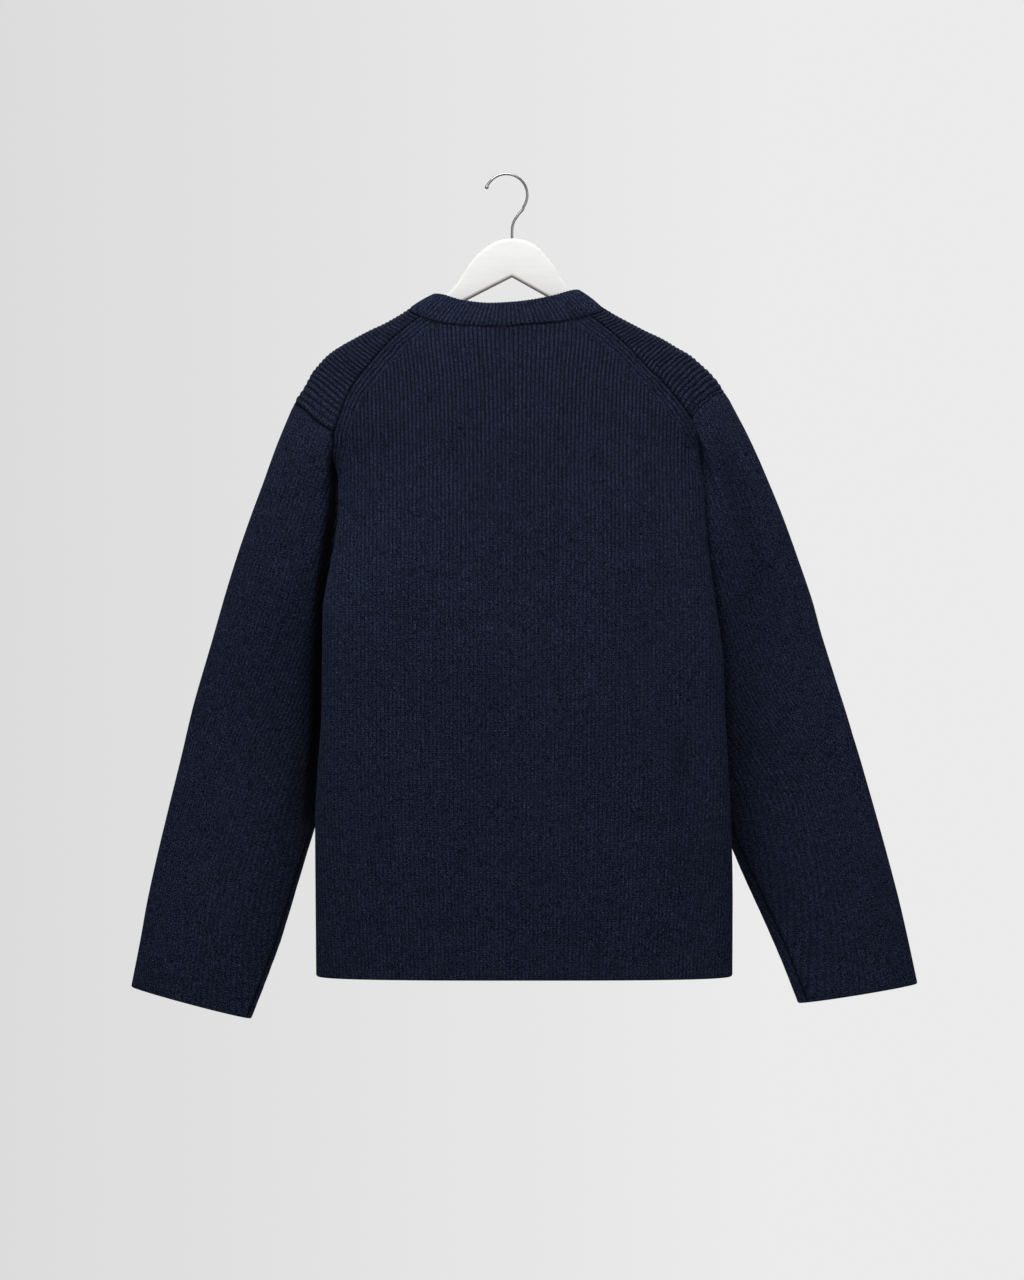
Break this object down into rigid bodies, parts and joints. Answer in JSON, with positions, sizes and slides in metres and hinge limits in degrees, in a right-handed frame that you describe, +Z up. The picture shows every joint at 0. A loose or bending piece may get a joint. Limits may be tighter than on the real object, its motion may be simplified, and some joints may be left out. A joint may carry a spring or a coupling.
{
  "type": "cardigan on a hanger",
  "caption": "Button-front crew-neck cardigan in a fine ribbed wool knit, hanging closed on a flat wooden hanger with a bent wire hook.",
  "frame": {"origin": "the point inside the top of the hanger's hook that rests on a rail", "axes": "+Z up, -Y towards the cardigan's back, +Y towards its buttoned front, -X the wearer's left"},
  "size_m": [0.806, 0.1463, 0.8669],
  "materials": {
    "knit": "matt navy melange rib knit",
    "rib_band": "matt navy melange rib knit",
    "button": "satin",
    "hanger_wood": "white paint",
    "hook_steel": "bright"
  },
  "bodies": {
    "root": {"back": "knit", "front_left": "knit", "front_right": "knit", "sleeve_left": "knit", "sleeve_right": "knit", "neckband": "rib_band", "button_band_left": "rib_band", "button_band_right": "rib_band", "button_1": "button", "button_2": "button", "button_3": "button", "button_4": "button", "button_5": "button", "button_6": "button", "button_7": "button", "hanger": "hanger_wood", "hanger_hook": "hook_steel"}
  },
  "joints": []
}
